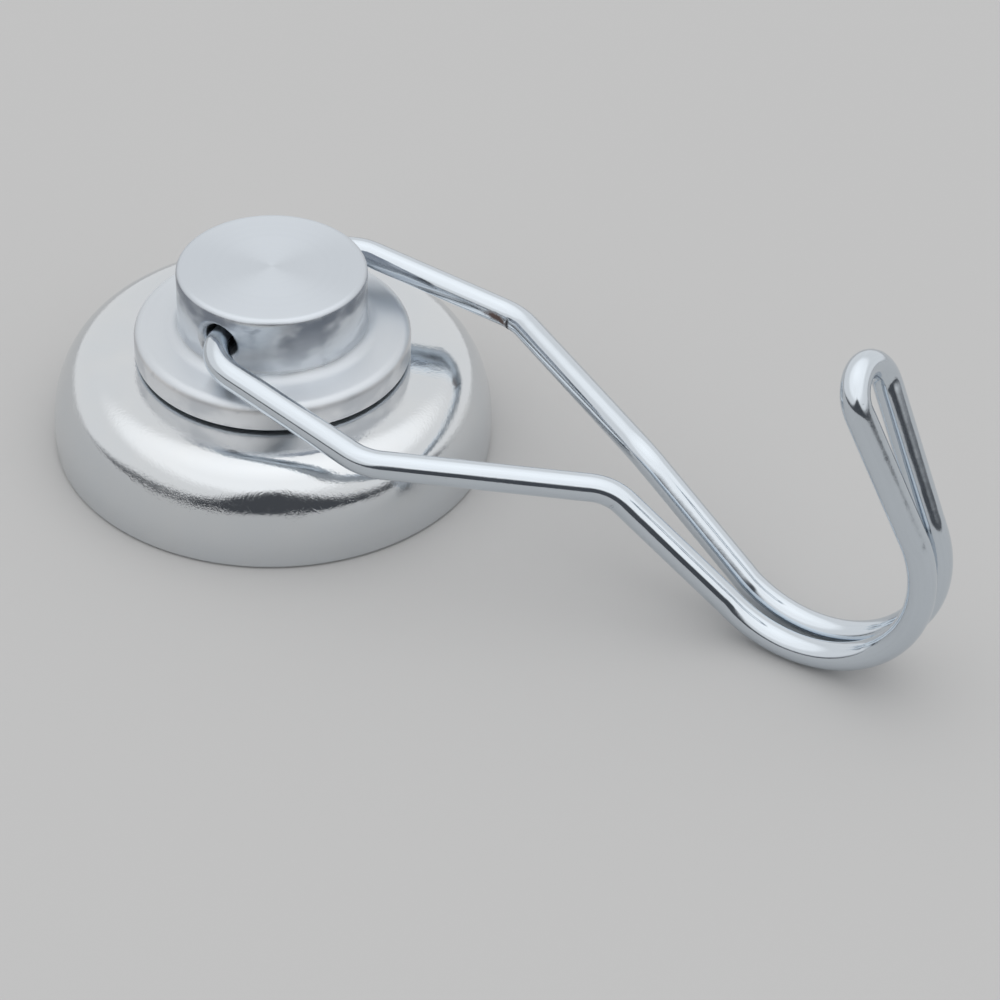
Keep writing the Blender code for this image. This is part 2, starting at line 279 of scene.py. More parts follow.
def quads(rows, columns, wrap_rows=False):
    """Corner numbers of the quads of a grid. Point (i, j) is number i * columns + j. The last column is
    joined to the first, and with wrap_rows the last row to the first too."""
    row = np.arange(rows if wrap_rows else rows - 1)
    i, j = np.meshgrid(row, np.arange(columns), indexing="ij")
    below, beside = (i + 1) % rows, (j + 1) % columns
    corners = (i * columns + j, below * columns + j, below * columns + beside, i * columns + beside)
    return np.stack(corners, axis=-1)


def make_piece(name, patches, place=None):
    """One closed mesh from patches, each the points of a grid and the corner numbers of its quads.
    Points that coincide are welded, faces are turned outwards, and edges are sharp where the faces
    meet at a steep angle."""
    points = np.vstack([grid.reshape(-1, 3) for grid, _ in patches])
    starts = np.cumsum([0] + [grid.size // 3 for grid, _ in patches[:-1]])
    faces = np.vstack([corners.reshape(-1, 4) + start for (_, corners), start in zip(patches, starts)])
    mesh = bpy.data.meshes.new(name)
    mesh.from_pydata(points.tolist(), [], faces.tolist())
    if place is not None:
        attribute = mesh.attributes.new("wire_place", "FLOAT_VECTOR", "POINT")
        attribute.data.foreach_set("vector", place.astype(np.float32).ravel())
    build = bmesh.new()
    build.from_mesh(mesh)
    bmesh.ops.remove_doubles(build, verts=build.verts, dist=WELD_DISTANCE)
    bmesh.ops.recalc_face_normals(build, faces=build.faces)
    open_edges = sum(len(edge.link_faces) != 2 for edge in build.edges)
    build.to_mesh(mesh)
    build.free()
    mesh.shade_smooth()
    mesh.set_sharp_from_angle(angle=SHARP_ANGLE)
    piece = bpy.data.objects.new(name, mesh)
    bpy.context.scene.collection.objects.link(piece)
    print(name, "has", len(mesh.polygons), "faces and", open_edges, "open edges")
    return piece


# %% [markdown]
# ## Sections of turned pieces
#
# The pot and the head are turned shapes: a flat outline, or section, carried once round the axis.
# Real edges are never perfectly sharp, and on metal it is the small round that catches the light. So
# each corner of a section is replaced by an arc that touches both of its sides. A guard point just
# outside each end of the arc keeps the shading of the flat face beside it flat.

# %% Section helpers
CORNER_STEPS = 8
GUARD_SHARE = 0.15


def soft_corner(before, corner, after, radius, steps=CORNER_STEPS):
    """Arc of a radius that touches both sides of a corner, with a guard point past each end. With end
    radii a and b, and w the angle between them, its points are
    centre + (sin((1 - q) w) a + sin(q w) b) / sin(w), for q from 0 to 1."""
    before, corner, after = (np.asarray(point, float) for point in (before, corner, after))
    back_way = (before - corner) / np.linalg.norm(before - corner)
    ahead = (after - corner) / np.linalg.norm(after - corner)
    half = np.arccos(np.clip(back_way @ ahead, -1.0, 1.0)) / 2
    inwards = (back_way + ahead) / np.linalg.norm(back_way + ahead)
    centre = corner + inwards * radius / np.sin(half)
    first = corner + back_way * radius / np.tan(half)
    last = corner + ahead * radius / np.tan(half)
    sweep = np.pi - 2 * half
    share = np.linspace(0, 1, steps + 1)[:, None]
    bow = np.sin((1 - share) * sweep) * (first - centre) + np.sin(share * sweep) * (last - centre)
    guard = radius * GUARD_SHARE
    return np.vstack((first + back_way * guard, centre + bow / np.sin(sweep), last + ahead * guard))


def section(*corners):
    """Outline from corners given as radius, height and rounding in millimetres. A rounding of 0 stays
    sharp."""
    values = np.array(corners, float) * MM
    places, roundings = values[:, :2], values[:, 2]
    parts = []
    for number, rounding in enumerate(roundings):
        if rounding:
            following = places[(number + 1) % len(places)]
            parts.append(soft_corner(places[number - 1], places[number], following, rounding))
        else:
            parts.append(places[number])
    return np.vstack(parts)


def turned(outline, steps):
    """Grid of a turned surface: point (r, z) of the outline goes to (r cos t, r sin t, z) for each
    angle t."""
    angle = np.linspace(0, 2 * np.pi, steps, endpoint=False)
    r, z = outline[:, 0, None], outline[:, 1, None]
    return np.stack(np.broadcast_arrays(r * np.cos(angle), r * np.sin(angle), z), axis=-1)


# %% [markdown]
# ## The pot
#
# The pot is pressed from mild steel: a flat top, a wide round shoulder where the metal was drawn
# over the die, and an open cavity below for the magnet. The shoulder is a superellipse,
# (x / a)^p + (z / b)^2 = 1, because the drawn metal leaves the flat more gently than an ellipse
# does. One closed section gives the outside, the ground rim and the cavity, so nothing has to be
# joined afterwards.

# %% Pot
TURNED_STEPS = 240
POT_RADIUS = 18.0
POT_TOP = 8.1
RIM_TOP = 1.2
SHOULDER_WIDTH = 4.4
SHOULDER_DROP = 6.5
SHOULDER_POWER = 2.4
SHOULDER_STEPS = 56
CAVITY_RADIUS = 15.4
CAVITY_CEILING = 3.8
RECESS_RADIUS = 6.3
RECESS_CEILING = 6.2
POT_BORE_RADIUS = 4.2

way_down = np.linspace(0, np.pi / 2, SHOULDER_STEPS + 1)
shoulder_radius = POT_RADIUS - SHOULDER_WIDTH * (1 - np.sin(way_down) ** (2 / SHOULDER_POWER))
shoulder_height = POT_TOP - SHOULDER_DROP * (1 - np.cos(way_down))
shoulder = np.column_stack((shoulder_radius, shoulder_height)) * MM
pot_inside = section(
    (POT_RADIUS, RIM_TOP, 0), (POT_RADIUS, 0, 0.28), (CAVITY_RADIUS, 0, 0.15),
    (CAVITY_RADIUS, CAVITY_CEILING, 0.5), (RECESS_RADIUS, CAVITY_CEILING, 0.12),
    (RECESS_RADIUS, RECESS_CEILING, 0.2), (POT_BORE_RADIUS, RECESS_CEILING, 0),
    (POT_BORE_RADIUS, POT_TOP, 0))
pot_outline = np.vstack((pot_inside, shoulder))
pot_grid = turned(pot_outline, TURNED_STEPS)
pot = make_piece("pot_shell", [(pot_grid, quads(len(pot_outline), TURNED_STEPS, wrap_rows=True))])
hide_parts("pot_cup")
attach(pot, "base")

# %% [markdown]
# ## The potting resin
#
# Black resin holds the magnet in the pot. It is poured in as a liquid, so it wets both walls and
# stands nearer the rim there than in the middle: its surface is a shallow trough. The trough is half
# a sine wave across the gap, raised to a power below 1 that steepens it beside the walls.

# %% Resin
RESIN_INNER = 13.01
RESIN_OUTER = 15.39
RESIN_TOP = 3.6
RESIN_EDGE = 0.12
TROUGH_DEPTH = 0.34
TROUGH_POWER = 0.7
TROUGH_STEPS = 24

across = np.linspace(0, 1, TROUGH_STEPS + 1)
trough_radius = RESIN_OUTER + (RESIN_INNER - RESIN_OUTER) * across
trough_height = RESIN_EDGE + TROUGH_DEPTH * np.sin(np.pi * across) ** TROUGH_POWER
trough = np.column_stack((trough_radius, trough_height)) * MM
resin_outline = np.vstack((np.array([[RESIN_INNER, RESIN_TOP], [RESIN_OUTER, RESIN_TOP]]) * MM, trough))
resin_grid = turned(resin_outline, TURNED_STEPS)
resin_quads = quads(len(resin_outline), TURNED_STEPS, wrap_rows=True)
resin = make_piece("potting_resin", [(resin_grid, resin_quads)])
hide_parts("resin_ring")
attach(resin, "base")

# %% [markdown]
# ## The turned head
#
# The head is one turned piece: a knob on a flange, with a fillet between them, and a hole bored
# straight across the knob for the wire. Cutting that hole with a boolean would leave long thin faces
# that spoil the reflections. So the knob's side is a grid with a window left out, and a second grid
# fills the window: its rings start as the window's border, shrink to the mouth of the hole, and run
# round its eased edge and down the bore.

# %% Sizes of the head
KNOB_RADIUS = 7.65
KNOB_TOP = 16.3
KNOB_ROUND = 0.5
FILLET = 1.0
FLANGE_RADIUS = 11.2
FLANGE_TOP = 10.65
FLANGE_BASE = 8.34
FLANGE_ROUND = 0.75
WASHER_SEAT_RADIUS = 9.3
WASHER_SEAT_CEILING = 9.3
SHANK_RADIUS = 3.9
SCREW_HOLE_RADIUS = 2.3
SCREW_HOLE_TOP = 10.5
PIVOT_HEIGHT = 13.35
BORE_RADIUS = 1.46
MOUTH_SIZE = 0.54
MOUTH_POWER = 1.3
HEAD_STEPS = 192
WINDOW_STEPS = 24
WINDOW_TOP = 15.6
WINDOW_ROWS = 18
FILLET_STEPS = 6
FILLET_TOP = FLANGE_TOP + FILLET


def knob_radius_at(height):
    """Radius of the knob's side at a height. Below the fillet's top it grows by F - sqrt(F^2 - d^2),
    where F is the fillet's radius and d the depth below that top."""
    depth = np.clip(FILLET_TOP - height, 0.0, FILLET)
    return KNOB_RADIUS + FILLET - np.sqrt(FILLET**2 - depth**2)


def fillet_heights(first_degrees, last_degrees):
    """Heights of points on the fillet, F sin(a) below its top, for angles after the first one."""
    degrees = np.linspace(first_degrees, last_degrees, FILLET_STEPS + 1)[1:]
    return FILLET_TOP - FILLET * np.sin(np.radians(degrees))


def knob_rows(heights):
    """Outline of the knob's side at some heights, in metres."""
    return np.column_stack((knob_radius_at(heights), heights)) * MM


# %% Grid of the head with its two windows
straight_heights = np.linspace(WINDOW_TOP, FILLET_TOP, WINDOW_ROWS + 1)
window_heights = np.concatenate((straight_heights, fillet_heights(0, 45)))
end_face = section((0, KNOB_TOP, 0), (KNOB_RADIUS, KNOB_TOP, KNOB_ROUND), (KNOB_RADIUS, FILLET_TOP, 0))[:-1]
fillet_rows = knob_rows(fillet_heights(45, 90))
lower_rows = section(
    (KNOB_RADIUS + FILLET + 0.1, FLANGE_TOP, 0), (FLANGE_RADIUS, FLANGE_TOP, FLANGE_ROUND),
    (FLANGE_RADIUS, FLANGE_BASE, 0.2), (WASHER_SEAT_RADIUS, FLANGE_BASE, 0.08),
    (WASHER_SEAT_RADIUS, WASHER_SEAT_CEILING, 0.1), (SHANK_RADIUS, WASHER_SEAT_CEILING, 0.2),
    (SHANK_RADIUS, RECESS_CEILING, 0.15), (SCREW_HOLE_RADIUS, RECESS_CEILING, 0.1),
    (SCREW_HOLE_RADIUS, SCREW_HOLE_TOP, 0), (0, SCREW_HOLE_TOP, 0))
head_outline = np.vstack((end_face, knob_rows(window_heights), fillet_rows, lower_rows))
head_grid = turned(head_outline, HEAD_STEPS)
head_quads = quads(len(head_outline), HEAD_STEPS)
kept = np.ones(head_quads.shape[:2], bool)
window_quad_rows = slice(len(end_face), len(end_face) + len(window_heights) - 1)
for middle in (HEAD_STEPS // 4, 3 * HEAD_STEPS // 4):
    kept[window_quad_rows, middle - WINDOW_STEPS // 2:middle + WINDOW_STEPS // 2] = False
print("head grid:", head_grid.shape[0], "rows,", (~kept).sum(), "quads left out for the windows")

# %% Grid of the cross bore
SIDE_RINGS = 10
SIDE_CROWDING = 1.2
MOUTH_STEPS = 10
BORE_STEPS = 16


def window_border():
    """Border of the window, anticlockwise, as angle from the bore's axis and height."""
    half_window = np.pi * WINDOW_STEPS / HEAD_STEPS
    angle = np.linspace(-half_window, half_window, WINDOW_STEPS + 1)
    height = window_heights[::-1]
    bottom = np.column_stack((angle[:-1], np.full(WINDOW_STEPS, height[0])))
    right_side = np.column_stack((np.full(len(height) - 1, angle[-1]), height[:-1]))
    top = np.column_stack((angle[:0:-1], np.full(WINDOW_STEPS, height[-1])))
    left_side = np.column_stack((np.full(len(height) - 1, angle[0]), height[:0:-1]))
    return np.vstack((bottom, right_side, top, left_side))


def mouth_point(turn, reach, drop):
    """Point at an angle and a distance from the bore's axis, as across, height and depth towards the
    mouth. Its depth is that of the knob's side there, sqrt(R^2 - across^2), less a drop."""
    across, height = np.broadcast_arrays(reach * np.cos(turn), PIVOT_HEIGHT + reach * np.sin(turn))
    return np.stack((across, height, np.sqrt(knob_radius_at(height) ** 2 - across**2) - drop), axis=-1)


def bore_grid():
    """Rings from the window's border to the middle of the bore. Those between the border and the
    mouth lie on the knob's side and crowd towards the mouth. The mouth is a chamfer with eased edges,
    a superellipse of low power p: reach B + S (1 - sin(a)^(2/p)) and drop S (1 - cos(a)^(2/p)), for a
    from 0 to 90 degrees. From there the rings run straight down the bore."""
    border = window_border()
    turn = np.arctan2(border[:, 1] - PIVOT_HEIGHT, border[:, 0] * KNOB_RADIUS)
    rim_across = (BORE_RADIUS + MOUTH_SIZE) * np.cos(turn)
    rim_height = PIVOT_HEIGHT + (BORE_RADIUS + MOUTH_SIZE) * np.sin(turn)
    rim = np.column_stack((np.arcsin(rim_across / knob_radius_at(rim_height)), rim_height))
    from_rim = np.linspace(0, 1, SIDE_RINGS + 1)[::-1, None, None] ** SIDE_CROWDING
    angle, height = np.moveaxis(rim + (border - rim) * from_rim, -1, 0)
    side_radius = knob_radius_at(height)
    side = np.stack((side_radius * np.sin(angle), height, side_radius * np.cos(angle)), axis=-1)
    bow = np.linspace(0, np.pi / 2, MOUTH_STEPS + 1)[:, None].clip(0, np.pi / 2 - 1e-9)
    inward, downward = (MOUTH_SIZE * (1 - wave(bow) ** (2 / MOUTH_POWER)) for wave in (np.sin, np.cos))
    mouth = mouth_point(turn, BORE_RADIUS + inward, downward)
    depth_shares = np.ones((BORE_STEPS, 1, 3))
    depth_shares[:, 0, 2] = np.linspace(1, 0, BORE_STEPS + 1)[1:]
    local = np.concatenate((side, mouth[1:], mouth[-1] * depth_shares)) * MM
    return np.stack((local[..., 0], -local[..., 2], local[..., 1]), axis=-1)


front_bore = bore_grid()
back_bore = front_bore * np.array([-1.0, -1.0, 1.0])
bore_quads = quads(*front_bore.shape[:2])
head_patches = [(head_grid, head_quads[kept]), (front_bore, bore_quads), (back_bore, bore_quads)]
head = make_piece("turned_head", head_patches)
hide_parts("swivel_head")
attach(head, "head")

# %% [markdown]
# ## The wire hook
#
# One length of 2.2 mm wire is bent in the middle to make the tip, its two strands run side by side
# through the belly, then spread into arms that turn into the bore. The hook is a circle carried
# along that centre line. The line is straight runs joined by arcs. It is resampled at an even
# spacing and lightly averaged, because a wire bent over a pin eases into each bend.

# %% Centre line of the wire
WIRE_RADIUS = 1.1
WIRE_END = 2.65
ARM_HALF_WIDTH = 9.7
FIRST_BEND = (16.3, 11.4, 11.0)
SECOND_BEND = (33.0, 2.6, 10.0)
END_BEND_RADIUS = 3.6
ARM_BEND_RADIUS = 4.5
BELLY_REACH = 48.8
BELLY_RADIUS = 9.5
BELLY_HALF_WIDTHS = (1.55, 1.35)
RETURN_LEG_HEADING = math.radians(117.5)
RETURN_LEG_LENGTH = 11.6
TIP_RADIUS = 2.3
ARC_STEPS = 60
WIRE_SPACING = 0.2


def belly_arc():
    """Belly: a circle in the side view, from the heading that meets the second bend's run to the
    return leg's, while the strand draws evenly closer to its twin."""
    run, fall = BELLY_REACH - SECOND_BEND[0], WIRE_RADIUS + BELLY_RADIUS - SECOND_BEND[2]
    entry = math.atan2(fall, run) - math.asin(BELLY_RADIUS / math.hypot(run, fall))
    heading = np.linspace(entry, RETURN_LEG_HEADING, 2 * ARC_STEPS)
    half_width = np.linspace(*BELLY_HALF_WIDTHS, 2 * ARC_STEPS)
    height = WIRE_RADIUS + BELLY_RADIUS * (1 - np.cos(heading))
    return np.column_stack((BELLY_REACH + BELLY_RADIUS * np.sin(heading), half_width, height))


def strand():
    """Centre line of one strand, from its end in the bore to the middle of the tip, in
    millimetres."""
    end = (0.0, WIRE_END, PIVOT_HEIGHT)
    start = (0.0, ARM_HALF_WIDTH, PIVOT_HEIGHT)
    belly = belly_arc()
    leg = np.array([math.cos(RETURN_LEG_HEADING), 0.0, math.sin(RETURN_LEG_HEADING)])
    quarter = np.linspace(0, np.pi / 2, ARC_STEPS)[:, None]
    tip_centre = belly[-1] * (1, 0, 1) + leg * RETURN_LEG_LENGTH
    tip = tip_centre + np.array([0, TIP_RADIUS, 0]) * np.cos(quarter) + leg * TIP_RADIUS * np.sin(quarter)
    end_bend = soft_corner(end, start, FIRST_BEND, END_BEND_RADIUS, ARC_STEPS)
    first_bend = soft_corner(start, FIRST_BEND, SECOND_BEND, ARM_BEND_RADIUS, ARC_STEPS)
    second_bend = soft_corner(FIRST_BEND, SECOND_BEND, belly[0], ARM_BEND_RADIUS, ARC_STEPS)
    return np.vstack(([end], end_bend, first_bend, second_bend, belly, tip))


def length_along(points):
    """Distance travelled along a line of points."""
    return np.concatenate(([0.0], np.cumsum(np.linalg.norm(np.diff(points, axis=0), axis=1))))


def evened(points, spacing):
    """Points at an even spacing on the same line, each then made the mean of itself and the two
    neighbours on either side. The line is mirrored through its end points to average there too."""
    travelled = length_along(points)
    stations = np.linspace(0, travelled[-1], int(travelled[-1] / spacing) + 1)
    even = np.column_stack([np.interp(stations, travelled, points[:, axis]) for axis in range(3)])
    padded = np.vstack((2 * even[0] - even[2:0:-1], even, 2 * even[-1] - even[-2:-4:-1]))
    return sum(padded[shift:shift + len(even)] for shift in range(5)) / 5


half_line = strand()
centre_line = evened(np.vstack((half_line * (1, -1, 1), half_line[-2::-1])), WIRE_SPACING)
print("the wire is", round(float(length_along(centre_line)[-1]), 1), "mm long")

# %% Wire
WIRE_SIDES = 48
BEND_FLATTENING = 0.10
END_CHAMFER = 0.25
END_FACE_SHARE = 0.8
UNUSED_HEADING = np.array([-0.656, 0.0, 0.755])


def wire_grid(line):
    """Circle carried along a line: centre + R (cos v n + sin v b). The two side directions n and b
    come from one heading that the wire never takes, made square to the line. The inside of each bend
    is pressed slightly flat: there the radius loses a share of R times the curvature. Also gives each
    point's place on the wire as if it were straight, for the finish."""
    tangent = np.gradient(line, axis=0)
    tangent /= np.linalg.norm(tangent, axis=1)[:, None]
    bend = np.gradient(tangent, axis=0) / WIRE_SPACING
    side = UNUSED_HEADING - tangent * (tangent @ UNUSED_HEADING)[:, None]
    side /= np.linalg.norm(side, axis=1)[:, None]
    other = np.cross(tangent, side)
    turn = np.linspace(0, 2 * np.pi, WIRE_SIDES, endpoint=False)[None, :, None]
    outward = side[:, None] * np.cos(turn) + other[:, None] * np.sin(turn)
    inside = np.clip(np.einsum("ijk,ik->ij", outward, bend), 0, None)[..., None]
    radius = WIRE_RADIUS * (1 - BEND_FLATTENING * WIRE_RADIUS * inside)
    straight = np.linspace(-0.5, 0.5, len(line))[:, None, None] * length_along(line)[-1]
    place = np.broadcast_arrays(WIRE_RADIUS * np.cos(turn), WIRE_RADIUS * np.sin(turn), straight)
    return line[:, None] + outward * radius, np.concatenate(place, axis=-1)


body_grid, body_place = wire_grid(centre_line)
end_shares = np.array([0.0, END_FACE_SHARE])[:, None, None]
first_end = centre_line[0] + (body_grid[0] - centre_line[0]) * end_shares
last_end = centre_line[-1] + (body_grid[-1] - centre_line[-1]) * end_shares[::-1]
inset = np.array([0.0, END_CHAMFER, 0.0])
body_grid[0] += inset * np.sign(centre_line[0, 1])
body_grid[-1] += inset * np.sign(centre_line[-1, 1])
hook_grid = np.concatenate((first_end, body_grid, last_end)) * MM
hook_place = np.concatenate((body_place[[0, 0]], body_place, body_place[[-1, -1]]))
hook = make_piece("bent_wire", [(hook_grid, quads(*hook_grid.shape[:2]))], hook_place)
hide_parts("wire_hook")
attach(hook, "hook")

# %% [markdown]
# ## Effects that several finishes share
#
# Four things happen on more than one metal here, so each is a node group with named inputs. Grain is
# the fine tooth of a satin plating. Turning marks are the rings that a lathe tool leaves, on faces
# and on sides alike. Hairlines are the thin scratches of handling. Pits are the few pinholes in a
# plating. All of them work in millimetres on the piece itself.

# %% Group helper
def new_group(name, inputs, outputs):
    """Empty shader group, its input and output nodes, with numbered or vector inputs and number
    outputs."""
    group = bpy.data.node_groups.new(name, "ShaderNodeTree")
    for title, value in inputs.items():
        kind = "NodeSocketVector" if value is None else "NodeSocketFloat"
        socket = group.interface.new_socket(title, in_out="INPUT", socket_type=kind)
        if value is not None:
            socket.default_value = value
    for title in outputs:
        group.interface.new_socket(title, in_out="OUTPUT", socket_type="NodeSocketFloat")
    return group, group.nodes.new("NodeGroupInput").outputs, group.nodes.new("NodeGroupOutput").inputs


# %% Grain
CLOUD_EDGES = (0.38, 0.62)
GRAIN_SHARES = (0.25, 1.0)

grain_group, given, results = new_group(
    "plating_grain", {"Place": None, "Grains per mm": 8.0, "Clouds per mm": 0.25}, ["Height", "Clouds"])
clouds = noise(grain_group, given["Place"], given["Clouds per mm"], 4.0, 0.55)
grains = noise(grain_group, given["Place"], given["Grains per mm"], 3.0, 0.65)
strength = remap(grain_group, clouds, *CLOUD_EDGES, *GRAIN_SHARES)
grain_group.links.new(calculate(grain_group, "MULTIPLY", grains, strength), results["Height"])
grain_group.links.new(clouds, results["Clouds"])

# %% Turning marks
COARSE_SHARE = 0.12

rings_group, given, results = new_group(
    "turning_marks", {"Place": None, "Marks per mm": 7.0, "Wander": 0.02}, ["Height", "Tone"])
axes = split_up(rings_group, given["Place"])
squares = [calculate(rings_group, "MULTIPLY", axes[letter], axes[letter]) for letter in "XY"]
ring_radius = calculate(rings_group, "SQRT", calculate(rings_group, "ADD", *squares))
drift = calculate(rings_group, "MULTIPLY", noise(rings_group, given["Place"], 0.8), given["Wander"])
drifted = {
    "X": calculate(rings_group, "ADD", ring_radius, drift),
    "Y": calculate(rings_group, "ADD", axes["Z"], drift)}
section_place = add_node(rings_group, "ShaderNodeCombineXYZ", drifted).outputs[0]
fine_marks = noise(rings_group, section_place, given["Marks per mm"], 3.0, 0.7)
coarse = calculate(rings_group, "MULTIPLY", given["Marks per mm"], COARSE_SHARE)
rings_group.links.new(fine_marks, results["Height"])
rings_group.links.new(noise(rings_group, section_place, coarse, 3.0, 0.6), results["Tone"])

# %% Hairlines
HAIRLINE_TURNS = (20, 77, 138)
HAIRLINE_AXIS = (0.2, 0.3, 1.0)
HAIRLINE_STRETCH = (0.06, 1.0, 0.5)
HAIRLINE_EDGES = (0.52, 0.66)

hairline_group, given, results = new_group(
    "hairlines", {"Place": None, "Lines per mm": 1.2, "Thinness": 0.02}, ["Mask"])
strongest = 0.0
for number, degrees in enumerate(HAIRLINE_TURNS):
    turned_place = turned_about(hairline_group, given["Place"], HAIRLINE_AXIS, math.radians(degrees))
    stretched = vector_math(hairline_group, "MULTIPLY", turned_place, HAIRLINE_STRETCH)
    streak = noise(hairline_group, stretched, given["Lines per mm"], 1.0, 0.4)
    off_line = calculate(hairline_group, "ABSOLUTE", calculate(hairline_group, "SUBTRACT", streak, 0.5))
    faded = calculate(hairline_group, "DIVIDE", off_line, given["Thinness"])
    line = calculate(hairline_group, "SUBTRACT", 1.0, faded, clamp=True)
    spots = noise(hairline_group, turned_place, 0.35 + 0.1 * number)
    patch = remap(hairline_group, spots, *HAIRLINE_EDGES, 0.0, 1.0)
    drawn = calculate(hairline_group, "MULTIPLY", line, patch)
    strongest = calculate(hairline_group, "MAXIMUM", strongest, drawn)
hairline_group.links.new(strongest, results["Mask"])

# %% Pits
PIT_EDGE = (0.6, 1.2)
PITLESS_SHARE = 0.72

pit_group, given, results = new_group(
    "plating_pits", {"Place": None, "Cells per mm": 0.9, "Pit size": 0.06}, ["Mask"])
cell_inputs = {"Vector": given["Place"], "Scale": given["Cells per mm"]}
cells = add_node(pit_group, "ShaderNodeTexVoronoi", cell_inputs).outputs
reach = calculate(pit_group, "DIVIDE", cells["Distance"], given["Pit size"])
draw = add_node(pit_group, "ShaderNodeSeparateColor", {0: cells["Color"]}).outputs[0]
pit = remap(pit_group, reach, *PIT_EDGE, 1.0, 0.0, smooth=True)
chosen = calculate(pit_group, "GREATER_THAN", draw, PITLESS_SHARE)
pit_group.links.new(calculate(pit_group, "MULTIPLY", pit, chosen), results["Mask"])

print("shared effects:", [group.name for group in bpy.data.node_groups])


# %% Starting a finish
def new_finish(name, metallic):
    """Material with its shader, and the place on the piece in millimetres."""
    finish = bpy.data.materials.new(name)
    finish.use_nodes = True
    tree = finish.node_tree
    shader = tree.nodes["Principled BSDF"]
    shader.inputs["Metallic"].default_value = metallic
    inputs = {0: add_node(tree, "ShaderNodeTexCoord").outputs["Object"], "Scale": 1 / MM}
    millimetres = add_node(tree, "ShaderNodeVectorMath", inputs, operation="SCALE").outputs[0]
    return finish, tree, shader, millimetres


def use_group(tree, group, inputs):
    """Places a shared effect in a material and returns its outputs."""
    return add_node(tree, "ShaderNodeGroup", inputs, node_tree=group).outputs


def raise_surface(tree, shader, layers):
    """Chains one Bump node for each layer of height, with its depth in millimetres, into the shader's
    normal."""
    normal = None
    for height, depth in layers:
        inputs = {"Height": height, "Strength": 1.0, "Distance": depth * MM}
        if normal is not None:
            inputs["Normal"] = normal
        normal = add_node(tree, "ShaderNodeBump", inputs).outputs["Normal"]
    tree.links.new(normal, shader.inputs["Normal"])


def dress(piece, finish):
    """Gives a new piece, or a piece of the frame, its finish."""
    if piece.material_slots:
        piece.material_slots[0].material = finish
    else:
        piece.data.materials.append(finish)


# %% [markdown]
# ## Satin nickel on the pot
#
# The pot is plated with nickel over steel that was tumbled, not polished. Reflections are soft, and
# their edges break up into a fine tooth. The colour hardly varies, but the roughness drifts in faint
# clouds, and a few hairlines and pits cross the shoulder.

# %% Pot finish
NICKEL = (0.69, 0.725, 0.76)
NICKEL_WARM = (0.735, 0.75, 0.76)
NICKEL_ROUGHNESS = (0.045, 0.085)
SCRATCH_ROUGHNESS = 0.10
POT_GRAIN_DEPTH = 0.020
POT_HAIRLINE_DEPTH = 0.002
POT_PIT_DEPTH = 0.03

pot_finish, tree, shader, place = new_finish("satin_nickel", 1.0)
grain = use_group(tree, grain_group, {"Place": place, "Grains per mm": 4.0, "Clouds per mm": 0.22})
lines = use_group(tree, hairline_group, {"Place": place, "Lines per mm": 1.1, "Thinness": 0.02})
pits = use_group(tree, pit_group, {"Place": place, "Cells per mm": 0.35, "Pit size": 0.03})
tree.links.new(mix_colours(tree, grain["Clouds"], NICKEL, NICKEL_WARM), shader.inputs["Base Color"])
cloudy = remap(tree, grain["Clouds"], *NOISE_RANGE, *NICKEL_ROUGHNESS)
marks = calculate(tree, "ADD", lines["Mask"], pits["Mask"])
scratched = calculate(tree, "MULTIPLY", marks, SCRATCH_ROUGHNESS)
tree.links.new(calculate(tree, "ADD", cloudy, scratched), shader.inputs["Roughness"])
raise_surface(tree, shader, [
    (grain["Height"], POT_GRAIN_DEPTH), (lines["Mask"], -POT_HAIRLINE_DEPTH),
    (pits["Mask"], -POT_PIT_DEPTH)])
dress(pot, pot_finish)

# %% [markdown]
# ## Turned aluminium on the head
#
# The head is left as it came off the lathe. The tool's rings are too fine to see one by one, but
# together they smear every reflection across themselves, so the end face shows a faint bow tie and
# the sides a soft vertical blur. That is what the anisotropy does, with its direction running round
# the axis.
#
# The knob's side carries dark patches of painted shade that stand in for dark reflections. They are drawn
# out round it and grow stronger towards its top, and they stop at the bore's mouth. Between them the side
# is painted lighter, the flange's face is painted lighter too, and the flange's side is painted paler and
# more neutral than its face.

# %% Where things are on the head
SIDE_EDGES = (0.3, 0.7)

head_finish, tree, shader, place = new_finish("turned_aluminium", 1.0)
rings = use_group(tree, rings_group, {"Place": place, "Marks per mm": 9.0, "Wander": 0.0})
surface_up = split_up(tree, add_node(tree, "ShaderNodeNewGeometry").outputs["Normal"])["Z"]
on_side = remap(tree, calculate(tree, "ABSOLUTE", surface_up), *SIDE_EDGES, 1.0, 0.0, smooth=True)
on_face = calculate(tree, "SUBTRACT", 1.0, on_side)
height = split_up(tree, place)["Z"]
on_knob = remap(tree, height, FLANGE_TOP, FILLET_TOP, 0.0, 1.0, smooth=True)
on_flange = calculate(tree, "SUBTRACT", 1.0, on_knob)
from_axis = vector_math(tree, "LENGTH", vector_math(tree, "MULTIPLY", place, (1.0, 1.0, 0.0)))
off_bore = remap(tree, from_axis, KNOB_RADIUS - MOUTH_SIZE, KNOB_RADIUS, 0.0, 1.0)

# %% Painted shade patches
PATCH_STRETCH = (1.0, 1.0, 1.7)
PATCH_SHIFT = (-40.9, 13.9, 10.1)
# Each noise is given as its scale per mm, its detail and its roughness.
PATCH_NOISE = (0.18, 3.0, 0.5)
WISP_NOISE = (0.60, 5.0, 0.6)
PATCH_EDGES = (0.42, 0.58)
PATCH_SHARES = (0.15, 1.0)
WISP_EDGES = (0.50, 0.72)
WISP_SHARES = (0.0, 0.7)
FLANGE_SHADE_SHARE = 0.35
